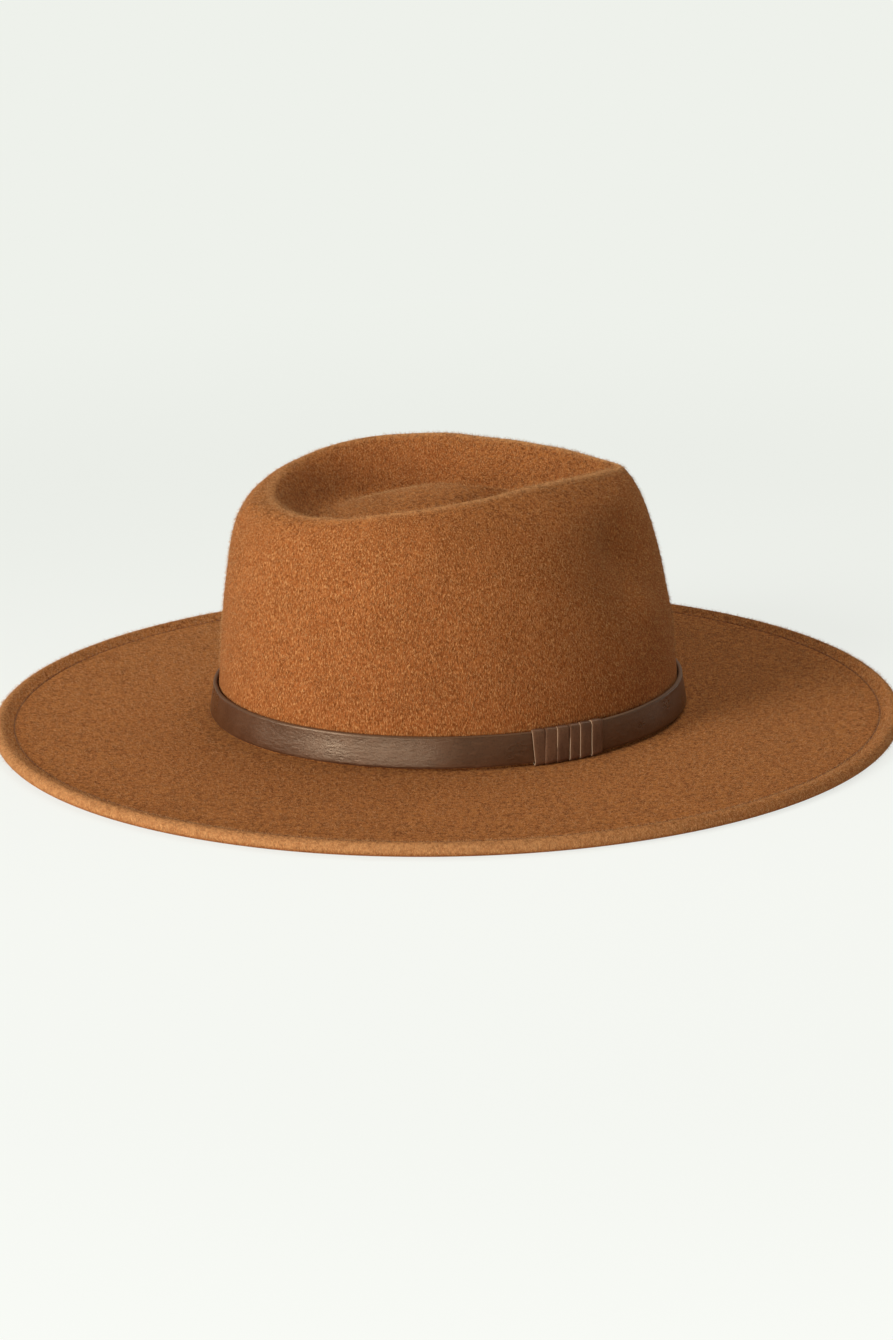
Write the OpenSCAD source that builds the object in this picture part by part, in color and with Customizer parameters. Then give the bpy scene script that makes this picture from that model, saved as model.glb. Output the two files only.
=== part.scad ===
// Wide-brim wool felt fedora with a teardrop crown, a wired and welted brim edge,
// a grosgrain sweatband and a slip-on leather hatband with a wound keeper.
// Millimetres, +X to the front of the hat, +Y to the wearer's left, +Z up.
// The origin is at the middle of the brim, on the surface that the hat stands on.

/* [Head opening] */
// Length of the head opening inside the sweatband
head_length = 201; // [180:1:215]
// Width of the head opening inside the sweatband
head_width = 166; // [150:1:180]

/* [Felt] */
// Thickness of the felt
felt_thickness = 2; // [1.6:0.1:2.4]
// Radius of the bend between crown and brim
break_radius = 1.5; // [1:0.1:2]

/* [Brim] */
// Overall length of the brim, front to back
brim_length = 404; // [370:1:430]
// Overall width of the brim, side to side
brim_width = 352; // [325:1:380]
// Rise of the brim from its stitched edge to the crown
brim_rise = 2.2; // [0.4:0.1:6]
// Width of the felt that is turned under at the brim's edge
welt_width = 12; // [11:0.5:16]
// Distance of the stitching from the brim's edge
stitch_inset = 9; // [8.9:0.1:9.5]
// Gap left between the two layers of felt at the stitching
fold_gap = 0.3; // [0.2:0.05:0.5]

/* [Crown] */
// Height of the crown's rim above the brim at the front
crown_front_height = 106; // [98:1:115]
// Height of the crown's rim above the brim at the sides
crown_side_height = 110.5; // [102:0.5:118]
// Height of the crown's rim above the brim at the back
crown_back_height = 99; // [92:1:110]
// Distance of the teardrop's tip in front of the crown's middle
teardrop_front = 77.5; // [72:0.5:82]
// Distance of the teardrop's round end behind the crown's middle
teardrop_back = 78; // [72:1:84]
// Half width of the teardrop
teardrop_half_width = 60; // [54:1:64]
// Lean of the crown's wall at the front
front_lean = 11; // [7:0.5:14]
// Lean of the crown's wall at the sides
side_lean = 12; // [8:0.5:16]
// Lean of the crown's wall at the back
back_lean = 7; // [5:0.5:12]
// Depth of the two pinches beside the front
pinch_depth = 8; // [0:0.5:9]
// Depth of the teardrop dent under the rim
dent_depth = 24; // [16:1:28]
// Height of the low dome in the middle of the dent
dome_height = 14; // [6:1:16]

/* [Brim wire] */
// Diameter of the spring wire in the brim's edge
wire_diameter = 1.2; // [0.9:0.1:1.3]
// Outer diameter of the sleeve that joins the wire's ends
joiner_diameter = 1.8; // [1.6:0.1:1.9]
// Length of that sleeve
joiner_length = 10; // [6:0.5:12]

/* [Sweatband] */
// Height of the sweatband
sweatband_height = 32; // [24:1:38]
// Thickness of the sweatband's ribbon
sweatband_thickness = 0.75; // [0.5:0.05:1]
// Width of the tape over the sweatband's joint
join_tape_width = 14; // [10:1:20]

/* [Hatband] */
// Width of the leather strap
strap_width = 13.5; // [10:0.5:18]
// Thickness of the leather strap
strap_thickness = 1.8; // [1.2:0.1:2.4]
// Height of the strap's lower edge above the brim
strap_rise = 1.4; // [1.3:0.1:4]
// Thickness of the leather thong wound round the strap
thong_thickness = 0.9; // [0.6:0.1:1]
// Advance of the thong along the strap at each turn
thong_pitch = 5.5; // [4:0.1:6.5]
// Turns of the thong
thong_turns = 6; // [4:1:8]
// Place of the keeper round the crown, in degrees from the front
keeper_angle = -70; // [-110:1:-50]

/* [Hidden] */
// Steps round the hat
steps = 64;
turn = [for (i = [0:steps - 1]) i * 360 / steps];
// Working clearance between pieces that lie against each other
seat_gap = 0.05;
// Least clearance of the slip-on hatband to the felt
slip_gap = 0.35;
// Clearance of the sweatband to the felt, which its glue line takes up
sweatband_gap = 0.25;
// Thread of the stitching, as wide as two plies lie
thread_width = 0.9;
thread_depth = 0.4;
stitch_groove = 0.5;
groove_half_width = 0.9;
// Gap between the two ends of the wire, of the strap and of the sweatband
wire_end_gap = 1;
strap_end_gap = 1;
sweatband_end_gap = 0.6;
tape_thickness = 0.5;
edge_round = 0.4;
thong_gap = 0.5;

// Head oval grown to the crown's outside
crown_a = head_length / 2 + sweatband_thickness + sweatband_gap + felt_thickness;
crown_b = head_width / 2 + sweatband_thickness + sweatband_gap + felt_thickness;
brim_a = brim_length / 2;
brim_b = brim_width / 2;
// The rolled edge goes round a hollow that holds the wire's sleeve
hollow_radius = joiner_diameter / 2 + 0.1;
roll_radius = hollow_radius + felt_thickness;
bead_width = 8;
brim_lap = welt_width + 2;
stitched_z = 2 * felt_thickness + fold_gap;
break_z = stitched_z + brim_rise;
// The dent's middle lies a little in front of the crown's
dent_middle = [6, 0];
dent_wall_back = 22;
dent_wall_front = 40;
// Share of the dent's depth that is left at its front
dent_front_share = 0.65;
// How early the dent's wall and the dome's side turn steep; 1 is an even ease
dent_fullness = 0.88;
dome_fullness = 0.7;
// Teardrop outline: how pointed it is, and how much its tip is rounded
tip_sharpness = 1.07;
tip_round = 0.06;
// Squareness of the crown's shoulder at the back and at the front
shoulder_back = 5;
shoulder_front = 3.25;
// How far the shoulder stops short of level at the rim's front, so that the rim is a fold there
fold_crispness = 0.04;
pinch_angle = 40;
pinch_spread = 20;
pinch_level = 0.72;
pinch_reach = 0.22;
felt_color = [0.62, 0.36, 0.19];
leather_color = [0.27, 0.19, 0.15];
thong_color = [0.33, 0.24, 0.19];
thread_color = [0.36, 0.2, 0.1];
ribbon_color = [0.3, 0.19, 0.12];
wire_color = [0.72, 0.72, 0.74];
joiner_color = [0.78, 0.62, 0.32];

// Ovals: a point of an oval, the outward direction there, and the speed along it
function oval(a, b, t) = [a * cos(t), b * sin(t)];
function oval_out(a, b, t) = let (n = [b * cos(t), a * sin(t)]) n / norm(n);
function oval_speed(a, b, t) = norm([a * sin(t), b * cos(t)]) * PI / 180;
function ease(x) = let (c = max(0, min(1, x))) c * c * (3 - 2 * c);
function front_share(t) = (1 + cos(t)) / 2;
function unit(v) = v / norm(v);
// A value that is set at the front, the sides and the back
function around(front, side, back, t) =
    back + (front - back) * front_share(t) + (side - (front + back) / 2) * sin(t) * sin(t);

// Crown: the rim's teardrop in plan, its height, and the wall between base and rim
function tear_shape(t) = sin(t) * pow((1 - cos(t)) / 2 + tip_round, tip_sharpness / 2);
tear_widest = max([for (t = [0:2:180]) tear_shape(t)]);
function rim_xy(t) = [
    (teardrop_front - teardrop_back) / 2 + (teardrop_front + teardrop_back) / 2 * cos(t),
    teardrop_half_width * tear_shape(t) / tear_widest
];
function rim_height(t) = around(crown_front_height, crown_side_height, crown_back_height, t);
function shoulder(t) = shoulder_back + (shoulder_front - shoulder_back) * pow(front_share(t), 4);
function turned(t) = abs((t + 540) % 360 - 180);
function pinch(t, level) = pinch_depth * exp(-pow((turned(t) - pinch_angle) / pinch_spread, 2))
    * exp(-pow((level - pinch_level) / pinch_reach, 2)) * ease((1 - level) / pinch_reach);
function shoulder_stop(t) = 1 - fold_crispness * front_share(t);
function round_in(level, m) = 1 - pow(max(0, 1 - pow(level, m)), 1 / m);
// Plan point of the wall at a share of the rim's height: a leaning wall and a rounded shoulder
function wall_xy(t, level) = let (
    base = oval(crown_a, crown_b, t),
    inward = rim_xy(t) - base,
    lean = min(0.95, around(front_lean, side_lean, back_lean, t) / norm(inward)),
    m = shoulder(t),
    stop = shoulder_stop(t),
    rounding = round_in(stop * level, m) / round_in(stop, m)
) base + inward * (lean * level + (1 - lean) * rounding)
    - pinch(t, level) * oval_out(crown_a, crown_b, t);
function lift(xy, z) = [xy[0], xy[1], z];
// Point of the wall where the shoulder has come in by a share of its run, which is 1 at the rim
function wall_level(t, run) = let (m = shoulder(t), stop = shoulder_stop(t))
    pow(1 - pow(1 - run * round_in(stop, m), m), 1 / m) / stop;
function wall(t, run) = let (level = wall_level(t, run))
    lift(wall_xy(t, level), break_z + rim_height(t) * level);
function wall_at(t, z) = wall_xy(t, max(0, z - break_z) / rim_height(t));
function outward(t) = oval_out(crown_a, crown_b, t);
// The dent goes down from the rim, at 0, to the valley, at 1, and up over a low dome to its top, at 2
function dent(t, way) = let (
    run = dent_middle - rim_xy(t),
    wall_run = dent_wall_back + (dent_wall_front - dent_wall_back) * pow(front_share(t), 3),
    foot = min(wall_run / norm(run), 0.8),
    share = foot * min(way, 1) + (1 - foot) * max(0, way - 1),
    depth = dent_depth * (1 - (1 - dent_front_share) * pow(front_share(t), 3)),
    rise = depth - dent_depth + dome_height,
    down = depth * ease(pow(min(way, 1), dent_fullness)) - rise * ease(pow(max(0, way - 1), dome_fullness)),
    height = rim_height(t) + (crown_side_height - rim_height(t)) * ease(min(way, 1))
) lift(rim_xy(t) + run * share, break_z + height - down);

// Brim: inset curves from its outline, and the height of its upper face there
function brim_in(t, inset) = oval(brim_a, brim_b, t) - inset * oval_out(brim_a, brim_b, t);
function bead_z(inset) = stitched_z
    + (2 * roll_radius - stitched_z) * (1 - ease((inset - roll_radius) / (bead_width - roll_radius)));
function break_foot(t) = wall_at(t, break_z + break_radius);
function brim_out(t, share) = let (start = break_foot(t) + break_radius * outward(t))
    start + (brim_in(t, brim_lap) - start) * share;
function bend_xy(t, a, r) = break_foot(t) + (break_radius - r * cos(a)) * outward(t);
function bend_z(a, r) = break_z + break_radius - r * sin(a);

// Rings of the felt, from the dent's middle outwards over the rim and down the wall
dent_ways = [1.88, 1.7, 1.5, 1.33, 1.19, 1.08, 1, 0.88, 0.72, 0.54, 0.36, 0.2, 0.08];
wall_runs = [1, 0.86, 0.68, 0.5, 0.33, 0.19, 0.09, 0.035, 0.01, 0.0015, 0.0001];
skin_rings = concat(
    [for (q = dent_ways) [for (t = turn) dent(t, q)]],
    [for (f = wall_runs) [for (t = turn) wall(t, f)]],
    [[for (t = turn) lift(break_foot(t), break_z + break_radius)]]
);
skin_top = dent(0, 2);
function skin_point(j, i) = j < 0 ? skin_top : skin_rings[min(j, len(skin_rings) - 1)][(i + steps) % steps];
function skin_in(j, i) = unit(cross(
    skin_point(j, i + 1) - skin_point(j, i - 1),
    skin_point(j + 2, i) - skin_point(j - 2, i)
));
lining_rings = [for (j = [0:len(skin_rings) - 2]) [for (i = [0:steps - 1])
    skin_rings[j][i] + felt_thickness * skin_in(j, i)]];

// A level ring, from a list of [inset from the brim's outline, height]
function edge_ring(at) = [for (t = turn) lift(brim_in(t, at[0]), at[1])];
function arc(centre, r, from, to, n) = [for (k = [0:n]) let (a = from + (to - from) * k / n)
    [centre - r * cos(a), centre + r * sin(a)]];
groove = groove_half_width;
// The felt's edge in section: down over the bead, round the roll, under and back along the welt
edge_profile = concat(
    [
        [stitch_inset + groove, stitched_z],
        [stitch_inset, stitched_z - stitch_groove],
        [stitch_inset - groove, bead_z(stitch_inset - groove)],
        [(bead_width + roll_radius) / 2, bead_z((bead_width + roll_radius) / 2)]
    ],
    arc(roll_radius, roll_radius, 90, -90, 6),
    [
        [stitch_inset - groove, 0], [stitch_inset, stitch_groove], [stitch_inset + groove, 0],
        [welt_width, 0], [welt_width, felt_thickness]
    ],
    arc(roll_radius, hollow_radius, -90, 90, 4),
    [
        [(bead_width + roll_radius) / 2, bead_z((bead_width + roll_radius) / 2) - felt_thickness],
        [bead_width, stitched_z - felt_thickness],
        [brim_lap, stitched_z - felt_thickness]
    ]
);
bend_angles = [30, 60, 90];
brim_shares = [0.5, 1];
felt_rings = concat(
    skin_rings,
    [for (a = bend_angles) [for (t = turn) lift(bend_xy(t, a, break_radius), bend_z(a, break_radius))]],
    [for (s = brim_shares) [for (t = turn) lift(brim_out(t, s), break_z - brim_rise * s)]],
    [for (at = edge_profile) edge_ring(at)],
    [for (s = [brim_shares[0]]) [for (t = turn)
        lift(brim_out(t, s), break_z - brim_rise * s - felt_thickness)]],
    [for (k = [len(bend_angles) - 1:-1:0]) let (r = break_radius + felt_thickness, a = bend_angles[k])
        [for (t = turn) lift(bend_xy(t, a, r), bend_z(a, r))]],
    [for (j = [len(lining_rings) - 1:-1:0]) lining_rings[j]]
);

// Solids from rings: one closed at two poles, one closed on itself, one with two ends
function band_faces(row, next, n) = [for (i = [0:n - 1]) let (k = (i + 1) % n)
    each [[row * n + i, row * n + k, next * n + i], [row * n + k, next * n + k, next * n + i]]];
module pole_solid(rings, first_pole, last_pole) {
    n = len(rings[0]);
    rows = len(rings);
    tip = rows * n;
    polyhedron(
        [for (r = rings) each r, first_pole, last_pole],
        concat(
            [for (i = [0:n - 1]) [tip, (i + 1) % n, i]],
            [for (j = [0:rows - 2]) each band_faces(j, j + 1, n)],
            [for (i = [0:n - 1]) [tip + 1, (rows - 1) * n + i, (rows - 1) * n + (i + 1) % n]]
        )
    );
}
module loop_solid(sections) {
    rows = len(sections);
    polyhedron(
        [for (s = sections) each s],
        [for (j = [0:rows - 1]) each band_faces(j, (j + 1) % rows, len(sections[0]))]
    );
}
module strip_solid(sections) {
    n = len(sections[0]);
    rows = len(sections);
    last = (rows - 1) * n;
    polyhedron(
        [for (s = sections) each s],
        concat(
            [for (k = [1:n - 2]) [0, k + 1, k]],
            [for (j = [0:rows - 2]) each band_faces(j, j + 1, n)],
            [for (k = [1:n - 2]) [last, last + k, last + k + 1]]
        )
    );
}

module felt_body() {
    color(felt_color) pole_solid(felt_rings, skin_top, skin_top - [0, 0, felt_thickness]);
}

// The wire's ends meet in the sleeve, halfway between two steps at the back
wire_z = roll_radius;
wire_back = steps / 2 - 1;
function wire_point(i) = lift(brim_in(turn[(i + steps) % steps], roll_radius), wire_z);
joiner_middle = (wire_point(wire_back) + wire_point(wire_back + 1)) / 2;
joiner_along = unit(wire_point(wire_back + 1) - wire_point(wire_back));
wire_path = concat(
    [joiner_middle + joiner_along * wire_end_gap / 2],
    [for (i = [1:steps]) wire_point(wire_back + i)],
    [joiner_middle - joiner_along * wire_end_gap / 2]
);
wire_sides = 6;
module brim_wire() {
    last = len(wire_path) - 1;
    color(wire_color) strip_solid([for (k = [0:last]) let (
        along = unit(wire_path[min(k + 1, last)] - wire_path[max(k - 1, 0)]),
        side = unit(cross([0, 0, 1], along))
    ) [for (j = [0:wire_sides - 1]) let (a = -j * 360 / wire_sides)
        wire_path[k] + wire_diameter / 2 * (cos(a) * side + sin(a) * [0, 0, 1])]]);
}

module wire_joiner() {
    heading = atan2(joiner_along[1], joiner_along[0]);
    color(joiner_color) translate(joiner_middle) rotate([0, 90, heading]) difference() {
        cylinder(d = joiner_diameter, h = joiner_length, center = true, $fn = 32);
        cylinder(d = wire_diameter + 2 * seat_gap, h = joiner_length + 1, center = true, $fn = 32);
    }
}

// Stitching lies in the pressed grooves above and under the welt
module stitch_loop(groove_z, way) {
    half = thread_width / 2;
    middle = seat_gap + thread_depth / 2;
    color(thread_color) loop_solid([for (t = turn) [
        for (at = [[0, seat_gap], [-half, middle], [0, seat_gap + thread_depth], [half, middle]])
            lift(brim_in(t, stitch_inset + way * at[0]), groove_z + way * at[1])
    ]]);
}
module brim_top_thread() {
    stitch_loop(stitched_z - stitch_groove, 1);
}
module brim_bobbin_thread() {
    stitch_loop(stitch_groove, -1);
}

// The sweatband stands inside the wall, with its ends butted at the back
sweatband_low = break_z + break_radius;
sweatband_high = sweatband_low + sweatband_height;
function inside(t, z, depth) = lift(wall_at(t, z) - (felt_thickness + depth) * outward(t), z);
function ribbon_section(t, near, far, low, high) = let (middle = (low + high) / 2) [
    inside(t, low, near), inside(t, middle, near), inside(t, high, near),
    inside(t, high, far), inside(t, middle, far), inside(t, low, far)
];
// Stations round the crown from one end to the other, closer together where a piece covers the joint
function open_turn(start, gap_angle, covered) = let (fine = 360 / steps / 5, coarse = 360 / steps) concat(
    [start + gap_angle / 2],
    [for (a = [fine:fine:covered]) start + a],
    [for (a = [coarse:coarse:360 - coarse]) if (a > covered && a < 360 - covered) start + a],
    [for (a = [-covered:fine:-fine]) start + 360 + a],
    [start + 360 - gap_angle / 2]
);
sweatband_far = sweatband_gap + sweatband_thickness;
module sweatband() {
    gap_angle = sweatband_end_gap / oval_speed(crown_a, crown_b, 180);
    covered = join_tape_width / oval_speed(crown_a, crown_b, 180) / 2 + 2;
    color(ribbon_color) strip_solid([for (t = open_turn(180, gap_angle, covered))
        ribbon_section(t, sweatband_gap, sweatband_far, sweatband_low, sweatband_high)]);
}

sweatband_stitch_z = sweatband_low + 3;
module sweatband_thread() {
    near = sweatband_far + seat_gap;
    half = thread_width / 2;
    color(thread_color) loop_solid([for (t = turn) [
        inside(t, sweatband_stitch_z - half, near),
        inside(t, sweatband_stitch_z + half, near),
        inside(t, sweatband_stitch_z + half / 2, near + thread_depth),
        inside(t, sweatband_stitch_z - half / 2, near + thread_depth)
    ]]);
}

tape_steps = 4;
tape_low = sweatband_stitch_z + thread_width;
module sweatband_join_tape() {
    half_angle = join_tape_width / 2 / oval_speed(crown_a, crown_b, 180);
    near = sweatband_far + seat_gap;
    color(thread_color) strip_solid([for (k = [-tape_steps:tape_steps])
        ribbon_section(180 + half_angle * k / tape_steps, near, near + tape_thickness, tape_low,
            sweatband_high - 1)]);
}

// Hatband: the strap stands clear of the felt by the thong that passes behind it
strap_gap = slip_gap + thong_thickness + seat_gap;
strap_low = break_z + strap_rise;
strap_high = strap_low + strap_width;
function beside(t, z, out) = lift(wall_at(t, max(z, break_z)) + out * outward(t), z);
keeper_speed = oval_speed(crown_a, crown_b, keeper_angle);
module hatband_strap() {
    near = strap_gap;
    far = strap_gap + strap_thickness;
    r = edge_round;
    covered = thong_turns * thong_pitch / keeper_speed / 2 + 2;
    gap_angle = strap_end_gap / keeper_speed;
    color(leather_color) strip_solid([for (t = open_turn(keeper_angle, gap_angle, covered)) [
        beside(t, strap_low + r, near), beside(t, strap_low, near + r),
        beside(t, strap_low, far - r), beside(t, strap_low + r, far),
        beside(t, strap_high - r, far), beside(t, strap_high, far - r),
        beside(t, strap_high, near + r), beside(t, strap_high - r, near)
    ]]);
}

// The thong winds round the strap in one unbroken flat helix
corner_steps = 4;
wind_corners = [
    [strap_gap + edge_round, strap_low + edge_round, 180],
    [strap_gap + strap_thickness - edge_round, strap_low + edge_round, 270],
    [strap_gap + strap_thickness - edge_round, strap_high - edge_round, 0],
    [strap_gap + edge_round, strap_high - edge_round, 90]
];
wind_count = len(wind_corners) * corner_steps;
function wind_point(k, grow) = let (
    corner = wind_corners[floor(k / corner_steps) % len(wind_corners)],
    a = corner[2] + 90 * (k % corner_steps) / (corner_steps - 1),
    r = edge_round + seat_gap + grow
) [corner[0] + r * cos(a), corner[1] + r * sin(a)];
thong_width = thong_pitch - thong_gap;
function thong_point(k, side, grow) = let (
    along = (k / wind_count - thong_turns / 2) * thong_pitch + side * thong_width / 2,
    at = wind_point(k, grow)
) beside(keeper_angle + along / keeper_speed, at[1], at[0]);
thong_sections = [for (k = [0:thong_turns * wind_count])
    [thong_point(k, -1, 0), thong_point(k, 1, 0), thong_point(k, 1, thong_thickness),
        thong_point(k, -1, thong_thickness)]];
thong_least_gap = min([for (k = [0:(thong_turns - 1) * wind_count]) each [
    norm(thong_sections[k][1] - thong_sections[k + wind_count][0]),
    norm(thong_sections[k][2] - thong_sections[k + wind_count][3])
]]);
module keeper_wrap() {
    echo(str("least gap between the thong's turns: ", thong_least_gap, " mm"));
    color(thong_color) strip_solid(thong_sections);
}

felt_body();
brim_wire();
wire_joiner();
brim_top_thread();
brim_bobbin_thread();
sweatband();
sweatband_thread();
sweatband_join_tape();
hatband_strap();
keeper_wrap();
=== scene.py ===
"""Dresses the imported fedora: felt body, stitched edge, leather hatband with a keeper, ribbon sweatband.

The frame is the CAD's own: +X to the front of the hat, +Y to the wearer's left, +Z up, origin under the
middle of the brim. Lengths inside the classes are millimetres, and meshes are written in metres.
"""

import logging
from collections.abc import Callable
from dataclasses import dataclass, field
from enum import Enum

import bpy
import numpy as np
from mathutils import Matrix, Vector


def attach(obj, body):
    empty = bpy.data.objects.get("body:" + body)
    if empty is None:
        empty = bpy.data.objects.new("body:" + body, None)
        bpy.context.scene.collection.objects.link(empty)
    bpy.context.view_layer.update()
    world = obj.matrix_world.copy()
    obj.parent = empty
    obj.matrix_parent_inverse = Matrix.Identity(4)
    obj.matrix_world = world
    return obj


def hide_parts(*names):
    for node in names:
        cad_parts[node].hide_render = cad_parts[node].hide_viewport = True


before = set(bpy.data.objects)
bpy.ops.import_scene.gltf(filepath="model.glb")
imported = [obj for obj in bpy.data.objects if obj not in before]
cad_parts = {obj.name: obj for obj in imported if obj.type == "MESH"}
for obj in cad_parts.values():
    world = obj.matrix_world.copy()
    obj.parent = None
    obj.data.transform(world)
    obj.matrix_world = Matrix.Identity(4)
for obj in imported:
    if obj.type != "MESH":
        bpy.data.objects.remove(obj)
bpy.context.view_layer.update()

LOG = logging.getLogger("fedora")
MM = 0.001
Array = np.ndarray
Socket = bpy.types.NodeSocket
Span = tuple[float, float]
Material = bpy.types.Material
Piece = bpy.types.Object


class Body(Enum):
    """The rigid bodies of the hat."""

    HAT = "hat"
    HATBAND = "hatband"


class Slot(Enum):
    """The record's material slots."""

    FELT = "felt"
    STRAP = "strap_leather"
    THONG = "thong_leather"
    THREAD = "thread"
    GROSGRAIN = "grosgrain"


# Small helpers for numbers, meshes and materials


def ease(x: Array) -> Array:
    """Smooth step from 0 to 1: x squared times three less twice x, held at its ends."""
    c = np.clip(x, 0.0, 1.0)
    return c * c * (3.0 - 2.0 * c)


def unit(v: Array) -> Array:
    """Vectors along the last axis, each divided by its length."""
    return v / np.maximum(np.linalg.norm(v, axis=-1, keepdims=True), 1e-12)


def mix(a: Array, b: Array, share: Array) -> Array:
    """A value between a, at a share of 0, and b, at 1."""
    return a + (b - a) * share


def full_turn(count: int) -> Array:
    """Angles of equal steps round a full turn."""
    return np.arange(count) * 2 * np.pi / count


def distances(line: Array) -> Array:
    """Distance of each point along a line from its first one."""
    return np.append(0.0, np.cumsum(np.linalg.norm(np.diff(line, axis=0), axis=1)))


def follow(at: Array, reach: Array, values: Array) -> Array:
    """Values along a line at other distances than those, in reach, at which they are given."""
    return np.stack([np.interp(at, reach, column) for column in values.T], -1)


def lift(xy: Array, z: Array) -> Array:
    """Plan points with a height added as the third coordinate."""
    z = np.broadcast_to(np.asarray(z, float), xy.shape[:-1])
    return np.concatenate([xy, z[..., None]], axis=-1)


def linear(hex_colour: str) -> tuple[float, float, float, float]:
    """Turns an sRGB hex colour into linear RGBA.

    Args:
        hex_colour: six hex digits.

    Returns:
        Linear red, green, blue and an alpha of 1.
    """
    srgb = np.array([int(hex_colour[i : i + 2], 16) for i in (0, 2, 4)]) / 255.0
    value = np.where(srgb <= 0.04045, srgb / 12.92, ((srgb + 0.055) / 1.055) ** 2.4)
    return (*(float(v) for v in value), 1.0)


def grid_faces(rows: int, cols: int, closed: bool = True) -> Array:
    """Quads of a grid of points, row after row.

    Args:
        rows, cols: points along the grid's two directions.
        closed: whether the last column joins the first.

    Returns:
        An array of four point indices per quad.
    """
    j = np.arange(rows - 1)[:, None] * cols
    i = np.arange(cols if closed else cols - 1)
    k = (i + 1) % cols
    return np.stack([j + i, j + cols + i, j + cols + k, j + k], -1).reshape(-1, 4)


def tube_faces(rows: int, cols: int, turned: bool = False) -> list[Array]:
    """Faces of a closed section that is carried along an open path, with a flat cap at each end.

    Args:
        rows, cols: sections along the path, and points round each.
        turned: whether the section runs the other way round, so that every face is turned over.

    Returns:
        The quads of the side and the two caps.
    """
    ring = np.arange(cols)[None]
    faces = [grid_faces(rows, cols), ring, ring[:, ::-1] + (rows - 1) * cols]
    return [face[:, ::-1] for face in faces] if turned else faces


def make_piece(name: str, points: Array, faces: list, material: Material) -> Piece:
    """Puts points in millimetres and faces into a smooth mesh object at the origin.

    Args:
        name: the piece's name.
        points: one row of x, y, z per point.
        faces: lists or arrays of point indices.
        material: the finish.

    Returns:
        The linked object.
    """
    mesh = bpy.data.meshes.new(name)
    corners = [face for part in faces for face in np.asarray(part).tolist()]
    mesh.from_pydata((points.reshape(-1, 3) * MM).tolist(), [], corners)
    mesh.polygons.foreach_set("use_smooth", np.ones(len(mesh.polygons), bool))
    mesh.materials.append(material)
    mesh.update()
    piece = bpy.data.objects.new(name, mesh)
    bpy.context.scene.collection.objects.link(piece)
    return piece


def add_attribute(piece: Piece, name: str, values: Array) -> None:
    """Stores one number per point under a name that the piece's material reads."""
    layer = piece.data.attributes.new(name, "FLOAT", "POINT")
    layer.data.foreach_set("value", np.ascontiguousarray(values, np.float32).ravel())


def add_uv(piece: Piece, uv: Array, name: str = "along_across") -> None:
    """Stores a UV map, in metres along and across the piece, from one pair in millimetres per point."""
    mesh = piece.data
    corner = np.empty(len(mesh.loops), np.int32)
    mesh.loops.foreach_get("vertex_index", corner)
    layer = mesh.uv_layers.new(name=name)
    layer.data.foreach_set("uv", np.ascontiguousarray(uv.reshape(-1, 2)[corner] * MM, np.float32).ravel())


def mount(piece: Piece, body: Body, slot: Slot, *nodes: str) -> Piece:
    """Rides a piece on a body and hides the CAD nodes that it stands for."""
    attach(piece, body.value)
    if nodes:
        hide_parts(*nodes)
    LOG.info("%s: %d faces on %s", piece.name, len(piece.data.polygons), body.value)
    return piece


def per_mm(size: float) -> float:
    """A texture scale, in steps per metre, for a pattern of this size in millimetres."""
    return 1.0 / (size * MM)


class NodeSheet:
    """A material's node tree, and the one way to add a node to it."""

    def __init__(self, name: str) -> None:
        """Starts a material with no nodes."""
        self.material = bpy.data.materials.new(name)
        self.material.use_nodes = True
        self.tree = self.material.node_tree
        self.tree.nodes.clear()

    def add(self, kind: str, settings: dict | None = None, out: str = "", **inputs: object) -> Socket:
        """Adds a node, sets its properties, sets or links its inputs, and gives back one of its outputs.

        Args:
            kind: the node's type, without the ShaderNode that all types begin with.
            settings: its properties.
            out: name of the output that is wanted; without it, the first one in use.
            inputs: a value or an output of another node, by the input's name with underscores for
                spaces, or by i and its place among the inputs in use.

        Returns:
            The output, or nothing where the node has none.
        """
        node = self.tree.nodes.new("ShaderNode" + kind)
        for key, value in (settings or {}).items():
            setattr(node, key, value)
        used = [socket for socket in node.inputs if socket.enabled]
        names = [socket.name for socket in used]
        for key, value in inputs.items():
            by_place = key[0] == "i" and key[1:].isdigit()
            socket = used[int(key[1:]) if by_place else names.index(key.replace("_", " "))]
            if isinstance(value, Socket):
                self.tree.links.new(value, socket)
            else:
                socket.default_value = value
        return node.outputs[out] if out else next((o for o in node.outputs if o.enabled), None)

    def noise(self, where: Socket, size_mm: float, detail: float = 3.0, roughness: float = 0.55) -> Socket:
        """Noise with spots of about this many millimetres."""
        return self.add("TexNoise", Vector=where, Scale=per_mm(size_mm), Detail=detail, Roughness=roughness)

    def ramp(
        self, value: Socket, start: float, end: float, low: float = 0.0, high: float | Socket = 1.0
    ) -> Socket:
        """A smooth step from low to high while a value goes from start to end."""
        ends = {"From_Min": start, "From_Max": end, "To_Min": low, "To_Max": high}
        return self.add("MapRange", SMOOTH, Value=value, **ends)

    def blend(self, share: Socket, under: str | Socket, over: str) -> Socket:
        """A share of a hex colour laid over another hex colour, or over a node's colour."""
        base = linear(under) if isinstance(under, str) else under
        return self.add("Mix", COLOURS, Factor=share, A=base, B=linear(over))

    def attribute(self, name: str) -> Socket:
        """A number that the piece's points carry."""
        return self.add("Attribute", {"attribute_name": name}, out="Fac")

    def bump(self, height: Socket, depth_mm: float) -> Socket:
        """A relief of this depth in millimetres."""
        return self.add("Bump", Height=height, Strength=1.0, Distance=depth_mm * MM)

    def finish(self, shader: Socket) -> Material:
        """Puts the shader on the surface and gives back the material."""
        self.add("OutputMaterial", Surface=shader)
        return self.material


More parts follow.
